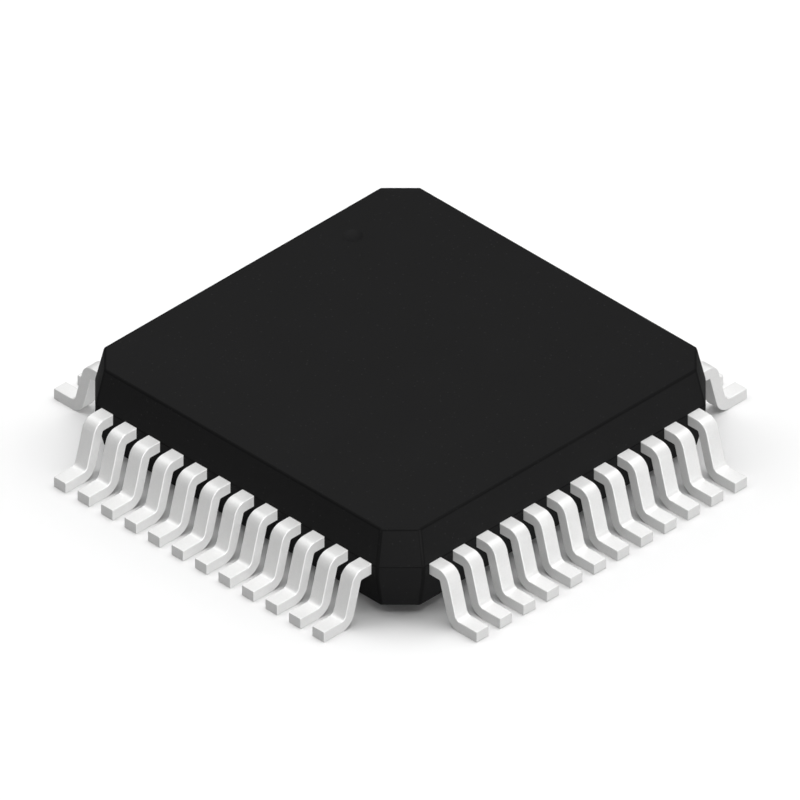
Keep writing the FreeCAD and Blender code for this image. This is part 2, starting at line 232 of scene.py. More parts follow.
# %% The satin tin of the leads
def make_tin():
    """Matt tin over a rolled strip, satin and a little uneven."""
    material, tree, shader = new_finish("tin_plate", (0.78, 0.78, 0.775), 0.35, 0.5)
    where = millimetres(tree)
    along = millimetres(tree, "UV", stretch=(1.5, 40, 1))
    deposit = noise(tree, where, per_mm=30, detail=3, rough=0.6)
    handling = noise(tree, where, per_mm=3, detail=2)
    rolled = noise(tree, along, per_mm=1, detail=2)

    colour = blend(tree, deposit, (0.745, 0.745, 0.74), (0.815, 0.815, 0.81))
    tree.links.new(colour, shader.inputs["Base Color"])
    satin = between(tree, handling, 0.46, 0.6, start=0.3, end=0.7)
    tree.links.new(satin, shader.inputs["Roughness"])
    lines = relief(tree, rolled, 0.0012)
    tree.links.new(relief(tree, deposit, 0.0015, lines), shader.inputs["Normal"])
    return material


tin = make_tin()
print("tin:", len(tin.node_tree.nodes), "nodes")

# %% [markdown]
# ## Turning vertices into a piece
#
# Every piece goes the same way: lists of points in millimetres become a mesh, the mesh becomes an
# object, and the object rides on the part's one body.

# %% Helpers for pieces
def to_mesh(name, points, faces):
    """A mesh from points in millimetres."""
    mesh = bpy.data.meshes.new(name)
    mesh.from_pydata([[c * MM for c in point] for point in points], [], faces)
    mesh.update()
    return mesh


def set_piece(name, mesh, materials, stands_for=()):
    """Puts a mesh on the part, with its materials, in place of the solids it stands for."""
    piece = bpy.data.objects.new(name, mesh)
    bpy.context.scene.collection.objects.link(piece)
    for material in materials:
        mesh.materials.append(material)
    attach(piece, "root")
    if stands_for:
        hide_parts(*stands_for)
    return piece


print("piece helpers ready")

# %% [markdown]
# ## The moulding
#
# The mould has two halves that close on the lead strip. Each half tapers by 12.5 degrees so that
# the block lets go of it, and between them stands an upright band as thick as the strip. The
# block is built from octagonal rings stacked from the underside to the top. Drafting a
# square with cut corners moves the cut less than the flats, and the ring function does that sum.

# %% Rings of the moulding
def ring(inset, level):
    """The eight corners of the outline, moved in square to its sides."""
    half = BODY_SPAN / 2 - inset
    cut = CORNER_CUT - inset * (2 - math.sqrt(2))
    corners = []
    for turn in range(4):
        c, s = round(math.cos(turn * math.pi / 2)), round(math.sin(turn * math.pi / 2))
        for x, y in ((half, cut - half), (half, half - cut)):
            corners.append((x * c - y * s, x * s + y * c, level))
    return corners


def stack(rings):
    """Joins rings of equal count with quads and closes both ends."""
    count = len(rings[0])
    points = [point for one in rings for point in one]
    faces = [tuple(reversed(range(count)))]
    for low in range(0, len(points) - count, count):
        for i in range(count):
            j = (i + 1) % count
            faces.append((low + i, low + j, low + count + j, low + count + i))
    faces.append(tuple(range(len(points) - count, len(points))))
    return points, faces


taper_low = (PARTING_LOW - UNDERSIDE) * math.tan(DRAFT)
taper_high = (TOP - PARTING_HIGH) * math.tan(DRAFT)
block_rings = [
    ring(taper_low, UNDERSIDE),
    ring(0, PARTING_LOW),
    ring(0, PARTING_HIGH),
    ring(taper_high, TOP),
]
block_mesh = to_mesh("moulding", *stack(block_rings))
print("top of the moulding in mm:", round(BODY_SPAN - 2 * taper_high, 3), "across")

# %% [markdown]
# A worn mould has no knife edges, so the rims and the upright corners are bevelled. The shallow
# creases at the parting lines stay crisp, because there the two mould halves meet and nothing
# rounds them. The bevel's own faces take the second material, the smoother one, whose darker
# colour is painted shade along every rim.

# %% Soften the rims
RIM_ROUND = 0.035
RIM_SHARPER_THAN = 20
RIM = 1


def soften(mesh, width, sharper_than):
    """Bevels the edges whose faces meet at more than an angle in degrees, and counts them."""
    form = bmesh.new()
    form.from_mesh(mesh)
    edges = [e for e in form.edges if e.calc_face_angle(0) > math.radians(sharper_than)]
    bmesh.ops.bevel(
        form, geom=edges, offset=width * MM, offset_type="OFFSET", segments=3, profile=0.5,
        affect="EDGES", clamp_overlap=True, material=RIM,
    )
    form.to_mesh(mesh)
    form.free()
    return len(edges)


# The bevels take the second material, whose darker colour is painted shade along the rims.
for finish in (compound, painted_edge_shade):
    block_mesh.materials.append(finish)
print(soften(block_mesh, RIM_ROUND, RIM_SHARPER_THAN), "edges softened")

# %% [markdown]
# ## Marks in the moulding
#
# Two kinds of round mark are pressed into the block. A shallow dish on the top shows where lead 1
# is, and four flat discs underneath are where the mould's ejector pins pushed the block out.
# Both are cut with turned tools: a profile is spun round an axis and taken away with a boolean.
# The third mark is the parting line, a hair-fine groove all round where the upper half of the mould
# met the strip. Its tool is an eight-sided hoop with a diamond for its section.

# %% Tools for the marks
def turned(name, profile, x, y, sides):
    """Spins a list of (radius, height) round a vertical axis, from a closed tip to a closed end."""
    rings = []
    for radius, height in profile:
        turns = [math.tau * i / sides for i in range(sides)]
        rings.append([(x + radius * math.cos(a), y + radius * math.sin(a), height) for a in turns])
    return to_mesh(name, *stack(rings))


def dish_profile(width, depth, face):
    """A cap of a ball below the face, carried up above it."""
    reach = width / 2
    ball = (reach * reach + depth * depth) / (2 * depth)
    edge = math.asin(reach / ball)
    cap = []
    for step in range(1, 11):
        angle = edge * step / 10
        cap.append((ball * math.sin(angle), face - depth + ball * (1 - math.cos(angle))))
    return [(0.002, face - depth)] + cap + [(reach * 1.25, face + depth / 2)]


def disc_profile(radius, depth, face):
    """A flat disc above the face with a slightly rounded rim, carried down below it."""
    return [
        (radius - 0.01, face - 0.1),
        (radius, face),
        (radius - 0.005, face + depth - 0.004),
        (radius - 0.02, face + depth),
    ]


def hoop(name, level, depth):
    """A closed eight-sided hoop whose inner edge lies a depth inside the block's widest outline."""
    inner, outer = ring(depth, level), ring(-3 * depth, level)
    lower, upper = ring(-depth, level - 2 * depth), ring(-depth, level + 2 * depth)
    rings = [inner, lower, outer, upper]
    points, faces = stack(rings + rings[:1])
    corners = 4 * len(inner)
    faces = [tuple(v % corners for v in face) for face in faces[1:-1]]
    return to_mesh(name, points[:corners], faces)


MARK_WIDTH, MARK_DEPTH = 0.34, 0.04
MARK_X, MARK_Y = -2.77, 1.75
dish = dish_profile(MARK_WIDTH, MARK_DEPTH, TOP)
first_lead_mark = turned("first_lead_mark", dish, MARK_X, MARK_Y, sides=64)
print("first-lead mark:", MARK_WIDTH, "mm wide and", MARK_DEPTH, "mm deep")

# %% [markdown]
# Each tool is one boolean modifier on the block, and the exact solver keeps such small cuts clean.
# The groove's tool carries the rims' material, and the boolean hands a tool's material on to the
# faces that it leaves, so the groove gets the same painted shade, a dark line all round.

# %% Cut the marks
GROOVE_DEPTH = 0.012
PIN_AT, PIN_RADIUS, PIN_DEPTH = 2.3, 0.45, 0.03


def cut_away(piece_mesh, cutters):
    """The mesh with every cutter taken away from it."""
    holder = bpy.data.objects.new("uncut", piece_mesh)
    bpy.context.scene.collection.objects.link(holder)
    tools = []
    for mesh in cutters:
        tool = bpy.data.objects.new(mesh.name, mesh)
        bpy.context.scene.collection.objects.link(tool)
        boolean = holder.modifiers.new(mesh.name, "BOOLEAN")
        boolean.object = tool
        boolean.operation = "DIFFERENCE"
        boolean.solver = "EXACT"
        tools.append(tool)
    finished = holder.evaluated_get(bpy.context.evaluated_depsgraph_get())
    done = bpy.data.meshes.new_from_object(finished)
    for item in tools + [holder]:
        bpy.data.objects.remove(item)
    done.name = "moulding"
    return done


parting_groove = hoop("parting_groove", PARTING_HIGH, GROOVE_DEPTH)
# The groove takes the second material too, so painted shade darkens it all round.
for finish in (compound, painted_edge_shade):
    parting_groove.materials.append(finish)
for face in parting_groove.polygons:
    face.material_index = RIM
disc = disc_profile(PIN_RADIUS, PIN_DEPTH, UNDERSIDE)
pin_marks = []
for x in (-PIN_AT, PIN_AT):
    for y in (-PIN_AT, PIN_AT):
        pin_marks.append(turned("pin_mark", disc, x, y, sides=48))
block_mesh = cut_away(block_mesh, [first_lead_mark, parting_groove] + pin_marks)
rim_faces = sum(face.material_index == RIM for face in block_mesh.polygons)
print("moulding:", len(block_mesh.polygons), "faces, of which", rim_faces, "are rims")

# %% [markdown]
# Flat faces beside rounded edges shade badly if all normals are simply averaged. Weighting the
# normals by face area keeps the large faces flat and bends the light only on the narrow ones, and
# edges sharper than a limit are left crisp.

# %% Shade and set the moulding
def mark_sharp(mesh, degrees):
    """Smooth faces, with the edges that bend more than so many degrees left crisp."""
    form = bmesh.new()
    form.from_mesh(mesh)
    for face in form.faces:
        face.smooth = True
    for edge in form.edges:
        edge.smooth = edge.calc_face_angle(math.pi) < math.radians(degrees)
    form.to_mesh(mesh)
    form.free()


mark_sharp(block_mesh, 32)
moulding = set_piece("moulding", block_mesh, [], ["package_body"])
weighted = moulding.modifiers.new("flat_faces", "WEIGHTED_NORMAL")
weighted.keep_sharp = True
weighted.weight = 100
print("moulding set in place of package_body")

# %% [markdown]
# ## The path of a lead
#
# All 48 leads share one side view: straight out of the block, down round the shoulder, along the
# slant, and out again round the foot. Bending a strip keeps its thickness, so the path is the
# strip's middle line, and each bend is an arc half a strip outside the inner radius.
# Stations are set closely round the bends and far apart where the strip is straight.

# %% Stations round the bends
STRIP = 0.19
TOE = 4.5
SHOULDER = 0.19
SHOULDER_RADIUS, FOOT_RADIUS = 0.03, 0.1
SLANT = math.radians(15)
BEND_STEPS = 8


def lead_path():
    """Points (outward, up) on the strip's middle line outside the block, with its slope there."""
    shoulder_x, shoulder_z = BODY_SPAN / 2 + SHOULDER, PARTING_LOW - SHOULDER_RADIUS
    foot_z = FOOT_RADIUS + STRIP
    drop = shoulder_z - STRIP - FOOT_RADIUS
    run = (SHOULDER_RADIUS + STRIP + FOOT_RADIUS + drop * math.sin(SLANT)) / math.cos(SLANT)
    foot_x = shoulder_x + run
    turns = [(math.pi / 2 - SLANT) * step / BEND_STEPS for step in range(BEND_STEPS + 1)]
    path = []
    for turn in turns:
        radius = SHOULDER_RADIUS + STRIP / 2
        out, up = radius * math.sin(turn), radius * math.cos(turn)
        path.append((shoulder_x + out, shoulder_z + up, turn))
    for turn in reversed(turns):
        radius = FOOT_RADIUS + STRIP / 2
        out, up = radius * math.sin(turn), radius * math.cos(turn)
        path.append((foot_x - out, foot_z - up, turn))
    return path


bends = lead_path()
print("foot starts", round(bends[-1][0], 3), "mm out and the toe ends at", TOE)

# %% [markdown]
# ## One lead
#
# Inside the block the strip narrows to a finger that fans in towards the die, and the fingers
# spread until the last ones just clear the paddle's tie bars. At both ends the strip is cropped,
# which leaves a small soft edge. The stations carry all of that: where the strip's middle is, how
# it slopes, how wide it is there and how much of the section the crop has taken.

# %% Stations from tip to toe
LEADS_PER_SIDE, PITCH, LEAD_WIDTH = 12, 0.5, 0.26
PADDLE_SPAN = 4.0
TIP_WIDTH, TIP_GAP, TIP_CORNER_GAP = 0.16, 0.25, 0.13
TIE_WIDTH = 0.16
ROOT_DEPTH, SEALED = 0.38, 0.02
SILVER_SPOT = 0.3
CROP = 0.012
CROP_STEPS = ((0, 1), (0.3, 0.3), (1, 0))

TIP_X = PADDLE_SPAN / 2 + TIP_GAP
ROOT_X = BODY_SPAN / 2 - ROOT_DEPTH
FACE_X = BODY_SPAN / 2 - SEALED
LAST_TIP = TIP_X - (TIE_WIDTH / 2 + TIP_CORNER_GAP) * math.sqrt(2) - TIP_WIDTH / 2
LAST_ROOT = PITCH * (LEADS_PER_SIDE - 1) / 2


def row_share(place):
    """Where a place lies in its row, from -1 at the first lead to 1 at the last."""
    return place * 2 / (LEADS_PER_SIDE - 1) - 1


def lead_stations(place):
    """(outward, along the row, up, slope, width, crop) from the finger's tip to the toe."""
    root_y, tip_y = LAST_ROOT * row_share(place), LAST_TIP * row_share(place)
    level = PARTING_LOW + STRIP / 2
    finger = [(TIP_X + CROP * along, crop) for along, crop in CROP_STEPS]
    finger += [(TIP_X + SILVER_SPOT, 0), (ROOT_X, 0)]
    stations = []
    for x, crop in finger:
        share = (x - TIP_X) / (ROOT_X - TIP_X)
        y = tip_y + (root_y - tip_y) * share
        stations.append((x, y, level, 0, TIP_WIDTH + (LEAD_WIDTH - TIP_WIDTH) * share, crop))
    stations.append((FACE_X, root_y, level, 0, LEAD_WIDTH, 0))
    for x, z, slope in bends:
        stations.append((x, root_y, z, slope, LEAD_WIDTH, 0))
    for along, crop in reversed(CROP_STEPS):
        stations.append((TOE - CROP * along, root_y, STRIP / 2, 0, LEAD_WIDTH, crop))
    return stations


print("finger tips spread over", round(2 * LAST_TIP, 2), "mm and roots over", 2 * LAST_ROOT, "mm")

# %% [markdown]
# A lead is stamped, so its section is a rectangle whose corners are rolled over, more on the side
# the punch came from than on the other. The section is set up at each station, square to the
# path, and skinned with quads.
#
# The shading of so small a form lives in its normals. They are worked out with the points: a
# rolled corner has the directions of its arc and a flat keeps one direction, so the flats stay
# flat and the light turns only at the edges.

# %% Section and skin of a lead
TOP_EDGE, LOW_EDGE = 0.015, 0.01
CORNER_STEPS = 3
CROP_LOSS = 0.8 * CROP


def section(width, thickness, shrink):
    """Points and outward directions round a rolled rectangle: (across, up, across, up)."""
    narrow, thin = 1 - 2 * shrink / width, 1 - 2 * shrink / thickness
    outline = []
    for corner, (a, b) in enumerate(((1, 1), (-1, 1), (-1, -1), (1, -1))):
        edge = TOP_EDGE if b > 0 else LOW_EDGE
        for step in range(CORNER_STEPS + 1):
            turn = math.pi / 2 * (corner + step / CORNER_STEPS)
            c, s = math.cos(turn), math.sin(turn)
            across = a * (width / 2 - edge) + edge * c
            up = b * (thickness / 2 - edge) + edge * s
            outline.append((across * narrow, up * thin, c, s))
    return outline


def lead_skin(place):
    """Rings of points, the outward direction at each point, and each ring's distance along."""
    stations = lead_stations(place)
    rings, normals, lengths = [], [], [0.0]
    for a, b in zip(stations, stations[1:]):
        lengths.append(lengths[-1] + math.dist(a[:3], b[:3]))
    for index, (x, y, z, slope, width, crop) in enumerate(stations):
        ring_points = []
        lean = crop * (1 if index > len(stations) / 2 else -1)
        for across, up, na, nu in section(width, STRIP, crop * CROP_LOSS):
            ring_points.append((x + up * math.sin(slope), y + across, z + up * math.cos(slope)))
            outward = Vector((nu * math.sin(slope) + lean, na, nu * math.cos(slope)))
            normals.append(outward.normalized())
        rings.append(ring_points)
    return rings, normals, lengths


print("a lead has", len(lead_skin(0)[0]), "rings of", len(section(LEAD_WIDTH, STRIP, 0)), "points")

# %% [markdown]
# The mesh is turned to its side of the block and gets its UV map, laid out in millimetres along
# and round the strip, for the rolling lines of the finish. Tin covers only what is outside the
# block. Each face takes its material by how far out it reaches.

# %% Mesh of a lead
GIRTH = 2 * (LEAD_WIDTH + STRIP)
TIN, COPPER, SILVER = 0, 1, 2
TOLERANCE = 1e-6


def strip_finish(reach):
    """The material of a face by how far out it reaches."""
    if reach > FACE_X + TOLERANCE:
        return TIN
    if reach > TIP_X + SILVER_SPOT + TOLERANCE:
        return COPPER
    return SILVER


def lead_mesh(name, place, turn):
    """One lead, drawn on the right side and turned about the part's middle."""
    rings, normals, lengths = lead_skin(place)
    points, faces = stack(rings)
    count = len(rings[0])
    c, s = round(math.cos(turn)), round(math.sin(turn))
    turned_points = [(x * c - y * s, x * s + y * c, z) for x, y, z in points]
    mesh = to_mesh(name, turned_points, faces)
    strip_map = mesh.uv_layers.new(name="strip")
    loop_normals = []
    for face in mesh.polygons:
        corners = list(face.vertices)
        quad = len(corners) == 4
        wraps = quad and {v % count for v in corners} == {0, count - 1}
        face.material_index = strip_finish(max(points[v][0] for v in corners))
        face.use_smooth = True
        for loop, v in zip(face.loop_indices, corners):
            around = count if wraps and v % count == 0 else v % count
            strip_map.data[loop].uv = (lengths[v // count], around * GIRTH / count)
            n = normals[v]
            turned_normal = (n.x * c - n.y * s, n.x * s + n.y * c, n.z)
            loop_normals.append(turned_normal if quad else face.normal.copy())
    mesh.normals_split_custom_set(loop_normals)
    return mesh


trial = lead_mesh("trial", 0, 0)
print("one lead:", len(trial.polygons), "faces")
bpy.data.meshes.remove(trial)

# %% [markdown]
# ## Finishes inside the block
#
# Nothing inside shows, yet a part that is opened or cut should hold up. The strip is a copper
# alloy with rolling lines, the finger tips carry a spot of dull silver, and the wires
# are gold.

# %% Copper, silver and gold
def make_rolled(name, dark, light, roughness):
    """A rolled metal: long fine lines over a slightly uneven colour."""
    material, tree, shader = new_finish(name, light, 1, roughness)
    lines = noise(tree, millimetres(tree, stretch=(2, 45, 45)), per_mm=1, detail=3)
    stain = noise(tree, millimetres(tree), per_mm=1.6, detail=3)
    tree.links.new(blend(tree, stain, dark, light), shader.inputs["Base Color"])
    uneven = between(tree, lines, roughness - 0.06, roughness + 0.08, start=0.3, end=0.7)
    tree.links.new(uneven, shader.inputs["Roughness"])
    tree.links.new(relief(tree, lines, 0.0008), shader.inputs["Normal"])
    return material


copper = make_rolled("copper_alloy", (0.72, 0.36, 0.22), (0.86, 0.47, 0.31), 0.34)
silver = make_rolled("silver_spot", (0.78, 0.77, 0.74), (0.9, 0.89, 0.87), 0.42)
gold = make_rolled("bond_gold", (0.9, 0.6, 0.2), (1.0, 0.72, 0.3), 0.22)
print("copper, silver and gold ready")

# %% [markdown]
# ## All the leads
#
# A side is the next one turned by a quarter, and the twelve leads of a side differ only in how
# far their fingers fan. The first lead is at the round mark, and the count runs
# anticlockwise seen from above.

# %% Set out 48 leads
def side_turn(side):
    """Pieces are drawn for the right side, and the left side comes first."""
    return math.pi + math.pi / 2 * side


for side in range(4):
    for place in range(LEADS_PER_SIDE):
        number = f"{side * LEADS_PER_SIDE + place + 1:02d}"
        mesh = lead_mesh(f"tinned_lead_{number}", place, side_turn(side))
        set_piece(mesh.name, mesh, [tin, copper, silver], [f"lead_{number}"])
print(4 * LEADS_PER_SIDE, "leads set")

# %% [markdown]
# ## Bond wires
#
# Each finger is tied to the die by a gold wire 0.03 mm thick. It starts as a ball pressed on the
# pad, rises, bends over, and ends as a stitch flattened on the finger. The
# wire is skinned like a lead, with round rings along a smooth path, so that ball, neck and stitch
# are all one form. The path is drawn in two parts, a tight neck and a long fall.

# %% Path of a bond wire
DIE_SPAN, DIE_TOP = 2.8, 1.06
PAD_INSET, PAD_CORNER_GAP = 0.1, 0.3
PAD_X, LAST_PAD = DIE_SPAN / 2 - PAD_INSET, DIE_SPAN / 2 - PAD_CORNER_GAP
LANDING = 0.14
WIRE_RADIUS = 0.015
LOOP_TOP = DIE_TOP + 0.15
NECK = ((0.0, 0.05), (0.01, 0.018), (0.035, 0.003), (0.08, 0.0))
FALL_STEPS, FALL_POWER = 10, 1.7
STITCH = 0.06


def wire_path(reach):
    """Points (outward, up) on a wire's middle line, from above its ball to its stitch."""
    crest = LOOP_TOP - WIRE_RADIUS
    path = [(out, crest - below) for out, below in NECK]
    neck_end = NECK[-1][0]
    fall = crest - PARTING_HIGH - WIRE_RADIUS
    for step in range(1, FALL_STEPS + 1):
        t = step / FALL_STEPS
        path.append((neck_end + (reach - neck_end - STITCH) * t, crest - fall * t ** FALL_POWER))
    path.append((reach, PARTING_HIGH + WIRE_RADIUS / 2))
    return path


print("wire from", round(PAD_X, 2), "to", round(TIP_X + LANDING, 2), "mm, loop top", round(LOOP_TOP, 2))

# %% [markdown]
# The rings of the ball lie flat on the pad, and from the neck on each ring stands square to the
# path. The last one is pressed flat and wide, as the tool leaves the stitch.

# %% Rings of a bond wire
BALL = ((0.028, 0.001), (0.036, 0.009), (0.031, 0.019), (0.019, 0.026), (WIRE_RADIUS, 0.033))
STITCH_FLATNESS = 0.45
WIRE_SIDES = 10


def wire_rings(place):
    """Rings of points for one wire of the right side, from its ball to its stitch."""
    share = row_share(place)
    finger_y = LAST_TIP + (LAST_ROOT - LAST_TIP) * LANDING / (ROOT_X - TIP_X)
    pad = Vector((PAD_X, LAST_PAD * share, 0))
    landing = Vector((TIP_X + LANDING, finger_y * share, 0))
    outward = (landing - pad).normalized()
    across = Vector((-outward.y, outward.x, 0))
    upward = Vector((0, 0, 1))
    rings = []
    for radius, height in BALL:
        rings.append((pad + upward * (DIE_TOP + height), outward * radius, across * radius))
    path = wire_path((landing - pad).length)
    for index, (u, z) in enumerate(path):
        before, after = path[max(index - 1, 0)], path[min(index + 1, len(path) - 1)]
        lean = math.atan2(after[1] - before[1], after[0] - before[0])
        flat = STITCH_FLATNESS if index == len(path) - 1 else 1
        normal = (upward * math.cos(lean) - outward * math.sin(lean)) * WIRE_RADIUS * flat
        centre = pad + outward * u + upward * z
        rings.append((centre, -normal, across * WIRE_RADIUS * (2 - flat)))
    turns = [math.tau * i / WIRE_SIDES for i in range(WIRE_SIDES)]
    return [[tuple(centre + a * math.cos(t) + b * math.sin(t)) for t in turns] for centre, a, b in rings]


print("a wire has", len(wire_rings(0)), "rings of", WIRE_SIDES, "points")

# %% [markdown]
# The wires of one side are one piece, because that is how a package drawing groups them. They are
# skinned where the right side is and turned by quarters, like the leads.

# %% Tie every finger to the die
for side, side_name in enumerate(("left", "front", "right", "back")):
    turn = side_turn(side)
    c, s = round(math.cos(turn)), round(math.sin(turn))
    points, faces = [], []
    for place in range(LEADS_PER_SIDE):
        wire_points, wire_faces = stack(wire_rings(place))
        base = len(points)
        points += [(x * c - y * s, x * s + y * c, z) for x, y, z in wire_points]
        faces += [tuple(v + base for v in face) for face in wire_faces]
    mesh = to_mesh(f"gold_wires_{side_name}", points, faces)
    mark_sharp(mesh, 60)
    set_piece(mesh.name, mesh, [gold], [f"bond_wires_{side_name}"])
print(4 * LEADS_PER_SIDE, "wires tied")

# %% [markdown]
# ## The stack under the wires
#
# The paddle, the adhesive and the die are plain plates in the solid model, and that is what they
# are, so they stay and only get their finishes. The adhesive is a resin full of silver flakes. The
# die's top is the one patterned surface in the part: blocks of circuit under glass, which a brick
# texture suggests, with brighter metal between. Its sawn sides stay plain grey silicon.

# %% Finish the plates
def make_adhesive():
    """Resin with silver flakes in it."""
    material, tree, shader = new_finish("die_adhesive", (0.5, 0.49, 0.47), 0.5, 0.5)
    flakes = specks(tree, millimetres(tree), per_mm=40)
    off_flake = between(tree, flakes, 0, 1, start=0.1, end=0.6)
    colour = blend(tree, off_flake, (0.72, 0.71, 0.68), (0.36, 0.35, 0.33))
    tree.links.new(colour, shader.inputs["Base Color"])
    tree.links.new(relief(tree, flakes, 0.002), shader.inputs["Normal"])
    return material


def make_silicon():
    """Blocks of circuit on what faces up, and sawn grey silicon on the sides."""
    material, tree, shader = new_finish("silicon", (0.2, 0.21, 0.24), 0.8, 0.25)
    where = millimetres(tree)
    blocks = tree.nodes.new("ShaderNodeTexBrick")
    blocks.inputs["Scale"].default_value = 3.2
    blocks.inputs["Mortar Size"].default_value = 0.02
    blocks.inputs["Color1"].default_value = (0.13, 0.17, 0.24, 1)
    blocks.inputs["Color2"].default_value = (0.22, 0.2, 0.27, 1)
    blocks.inputs["Mortar"].default_value = (0.5, 0.5, 0.46, 1)
    tree.links.new(where, blocks.inputs["Vector"])
    facing = tree.nodes.new("ShaderNodeNewGeometry")
    parts = tree.nodes.new("ShaderNodeSeparateXYZ")
    tree.links.new(facing.outputs["Normal"], parts.inputs["Vector"])
    upward = between(tree, parts.outputs["Z"], 0, 1, start=0.4, end=0.6)
    grain = noise(tree, where, per_mm=30, detail=3)
    sawn = blend(tree, grain, (0.16, 0.165, 0.175), (0.25, 0.255, 0.265))
    tree.links.new(blend(tree, upward, sawn, blocks.outputs["Color"]), shader.inputs["Base Color"])
    lines = noise(tree, millimetres(tree, stretch=(14, 3, 14)), per_mm=4, detail=2)
    gloss = between(tree, lines, 0.2, 0.34, start=0.3, end=0.7)
    tree.links.new(gloss, shader.inputs["Roughness"])
    return material


plate_finishes = {
    "die_paddle": copper,
    "die_attach": make_adhesive(),
    "silicon_die": make_silicon(),
}
for node_name, finish in plate_finishes.items():
    for material_slot in nodes[node_name].material_slots:
        material_slot.material = finish
print({name: len(nodes[name].material_slots) for name in plate_finishes})

# %% [markdown]
# Along each edge of the die runs a row of bond pads, small squares of aluminium in which the
# balls of the wires sit. They are thin plates with a slight rim, one to each wire.

# %% Bond pads
PAD_STEPS = ((0.045, 0), (0.045, 0.0012), (0.042, 0.002))


def pad_plate(x, y):
    """Points and faces of a square pad with a bevelled rim."""
    rings = []
    for half, height in PAD_STEPS:
        square = ((half, -half), (half, half), (-half, half), (-half, -half))
        rings.append([(x + a, y + b, DIE_TOP + height) for a, b in square])
    return stack(rings)


points, faces = [], []
for side in range(4):
    turn = side_turn(side)
    c, s = round(math.cos(turn)), round(math.sin(turn))
    for place in range(LEADS_PER_SIDE):
        y = LAST_PAD * row_share(place)
        pad_points, pad_faces = pad_plate(PAD_X * c - y * s, PAD_X * s + y * c)
        base = len(points)
        points += pad_points
        faces += [tuple(v + base for v in face) for face in pad_faces]
aluminium = make_rolled("pad_aluminium", (0.8, 0.8, 0.8), (0.92, 0.92, 0.91), 0.3)
pads = set_piece("bond_pads", to_mesh("bond_pads", points, faces), [aluminium])
print(len(pads.data.polygons), "faces on the pads")

# %% [markdown]
# ## The floor
#
# The chip stands on a plain white table. A real white table throws so much light back up that the
# faces of the leads go flat, and in a studio black card is laid just outside the frame to hold
# it off. Here the floor does that by itself: it is white to the camera and grey to the light
# that bounces, which a light path node tells apart.

# %% White floor
REACH = 400
BOUNCE = 0.4

corners = [(-REACH, -REACH, 0), (REACH, -REACH, 0), (REACH, REACH, 0), (-REACH, REACH, 0)]
floor_mesh = to_mesh("floor", corners, [(0, 1, 2, 3)])
floor = bpy.data.objects.new("floor", floor_mesh)
bpy.context.scene.collection.objects.link(floor)
white, tree, shader = new_finish("white_table", (0.99, 0.99, 0.99), 0, 0.9)
tone = noise(tree, millimetres(tree), per_mm=0.2, detail=3)
table = blend(tree, tone, (0.98, 0.98, 0.98), (1.0, 1.0, 1.0))
ray = tree.nodes.new("ShaderNodeLightPath")
held_off = blend(tree, ray.outputs["Is Camera Ray"], (BOUNCE, BOUNCE, BOUNCE), table)
tree.links.new(held_off, shader.inputs["Base Color"])
floor_mesh.materials.append(white)
print("floor is", 2 * REACH * MM, "m wide")

# %% [markdown]
# ## Light
#
# The picture is lit the way a catalogue is, inside a tent with soft panels set round it. The
# panel overhead lights the tops, and two weaker ones behind stop the far sides from going
# dull. Panels painted on the surround, and not lamps, can be as wide and soft as a real
# tent's.

# %% Soft panels
PANELS = {
    "overhead": (0, 90, 1.9),
    "behind": (175, 45, 0.3),
    "left_behind": (225, 45, 0.7),
}
FULL_WITHIN, GONE_BEYOND = math.radians(8), math.radians(36)

world = bpy.data.worlds.new("light_tent")
world.use_nodes = True
bpy.context.scene.world = world
sky = world.node_tree


def bearing(azimuth, elevation):
    """Direction from the chip towards a light: 0 is the front and 90 the right."""
    a, e = math.radians(azimuth), math.radians(elevation)
    return Vector((math.sin(a) * math.cos(e), -math.cos(a) * math.cos(e), math.sin(e)))


def panel(azimuth, elevation, brightness):
    """A round soft panel on a bearing from the chip."""
    direction = sky.nodes.new("ShaderNodeTexCoord")
    agreement = sky.nodes.new("ShaderNodeVectorMath")
    agreement.operation = "DOT_PRODUCT"
    agreement.inputs[1].default_value = bearing(azimuth, elevation)
    sky.links.new(direction.outputs["Generated"], agreement.inputs[0])
    glow = sky.nodes.new("ShaderNodeMapRange")
    glow.interpolation_type = "SMOOTHSTEP"
    glow.inputs["From Min"].default_value = math.cos(GONE_BEYOND)
    glow.inputs["From Max"].default_value = math.cos(FULL_WITHIN)
    glow.inputs["To Max"].default_value = brightness
    sky.links.new(agreement.outputs["Value"], glow.inputs["Value"])
    return glow.outputs["Result"]


glows = [panel(*row) for row in PANELS.values()]
print(len(glows), "panels in the tent")

# %% [markdown]
# The glows of the panels are added up, and the sum is the strength of the surround. The camera
# itself sees plain white there, past the edge of the floor. A light path node tells the two apart
# once more.

# %% A tent round the chip
total = glows[0]
for glow in glows[1:]:
    both = sky.nodes.new("ShaderNodeMath")
    sky.links.new(total, both.inputs[0])
    sky.links.new(glow, both.inputs[1])
    total = both.outputs["Value"]
seen = sky.nodes.new("ShaderNodeLightPath")
shown = sky.nodes.new("ShaderNodeMix")
shown.inputs["B"].default_value = 1.0
sky.links.new(seen.outputs["Is Camera Ray"], shown.inputs["Factor"])
sky.links.new(total, shown.inputs["A"])
surround = sky.nodes["Background"]
surround.inputs["Color"].default_value = (1, 1, 1, 1)
sky.links.new(shown.outputs["Result"], surround.inputs["Strength"])
bpy.context.scene.view_settings.view_transform = "Standard"
print("the tent has", len(sky.nodes), "nodes")

# %% [markdown]
# ## Light between the leads
#
# The gaps between the leads are 0.24 mm wide, so a panel hardly reaches the sides of the leads,
# and yet they should look nearly as bright as the tops. Three lamps fill them in. They cast no
# shadow, as light has none that was scattered many times, and they are linked to the chip
# alone. In Blender a lamp lights only the collection it is linked to.

# %% Lamps that fill in
FILL_LAMPS = {
    "side_fill": (79, 6, 0.76),
    "front_fill": (0, 6, 0.13),
    "top_fill": (0, 90, 0.6),
}
FILL_SPREAD = 30


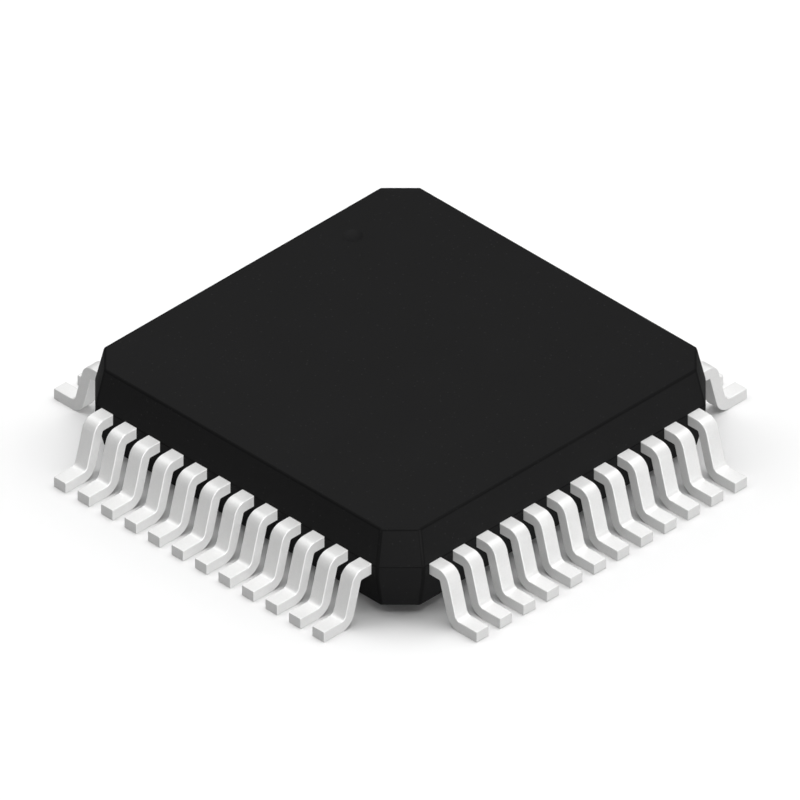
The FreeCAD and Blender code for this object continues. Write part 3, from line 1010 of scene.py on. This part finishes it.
def group_of(name, items):
    """A collection that lamps can be linked to."""
    group = bpy.data.collections.new(name)
    for item in items:
        group.objects.link(item)
    return group


def add_lamp(name, azimuth, elevation, brightness, spread, lit, shadow):
    """A far lamp on a bearing from the chip. Brightness 1 shows pure white as pure white."""
    light = bpy.data.lights.new(name, "SUN")
    light.energy = math.pi * brightness
    light.angle = math.radians(spread)
    light.use_shadow = shadow
    lamp = bpy.data.objects.new(name, light)
    lamp.rotation_euler = bearing(azimuth, elevation).to_track_quat("Z", "Y").to_euler()
    lamp.light_linking.receiver_collection = lit
    bpy.context.scene.collection.objects.link(lamp)


pieces = [item for item in bpy.context.scene.objects if item.type == "MESH" and item != floor]
chip_only = group_of("chip_only", pieces)
for name, row in FILL_LAMPS.items():
    add_lamp(name, *row, FILL_SPREAD, chip_only, False)
print(len(FILL_LAMPS), "lamps on", len(pieces), "pieces")

# %% [markdown]
# ## Light on the table
#
# The chip should stand in a soft halo of shadow, darkest beside the feet, while its tin stays a
# little less white than the table. Light that lies low makes such a halo, and light from overhead
# doesn't. So the table has lamps of its own, as wide as a tent's walls: one at each side of the
# picture, a little behind the chip, so that the halo falls forward, and a weak one overhead that
# keeps the shadow of the block from growing heavy. The last is weak too and casts no shadow. It
# stands for the scattered light that seeps in under the block.

# %% Lamps for the table
TABLE_LAMPS = {
    "right_wall": (150, 38, 0.36, True),
    "left_wall": (300, 35, 0.39, True),
    "ceiling": (0, 90, 0.05, True),
    "seeping": (0, 90, 0.08, False),
}
TABLE_SPREAD = 60

table_only = group_of("table_only", [floor])
for name, (azimuth, elevation, brightness, shadow) in TABLE_LAMPS.items():
    add_lamp(name, azimuth, elevation, brightness, TABLE_SPREAD, table_only, shadow)
print(len(TABLE_LAMPS), "lamps on the table")

# %% [markdown]
# ## Camera
#
# The photograph is a true isometric view: square to no face, 45 degrees round and
# 35.26 degrees up, without perspective. So the camera is orthographic. Its scale is set by the
# part, 66.43 pixels to a millimetre, and it aims a little above the part's origin, so that the
# origin falls on the pixel where the photograph has it.

# %% Isometric camera
PHOTO_SIDE_PX = 800
PIXELS_PER_MM = 66.43
ORIGIN_X_PX, ORIGIN_Y_PX = 400.41, 442.7
AZIMUTH, ELEVATION = 45, math.degrees(math.atan(1 / math.sqrt(2)))
DISTANCE = 100

camera_data = bpy.data.cameras.new("camera")
camera_data.type = "ORTHO"
camera_data.ortho_scale = PHOTO_SIDE_PX / PIXELS_PER_MM * MM
camera_data.clip_start = 0.001
camera_data.clip_end = 10
camera = bpy.data.objects.new("camera", camera_data)
bpy.context.scene.collection.objects.link(camera)
back = bearing(AZIMUTH, ELEVATION)
right = Vector((math.cos(math.radians(AZIMUTH)), math.sin(math.radians(AZIMUTH)), 0))
up = back.cross(right)
off_right, off_down = ORIGIN_X_PX - PHOTO_SIDE_PX / 2, ORIGIN_Y_PX - PHOTO_SIDE_PX / 2
aim = (up * off_down - right * off_right) / PIXELS_PER_MM * MM
camera.location = aim + back * DISTANCE * MM
camera.rotation_euler = back.to_track_quat("Z", "Y").to_euler()
bpy.context.scene.camera = camera
print("camera aims at", [round(c / MM, 3) for c in aim], "mm")
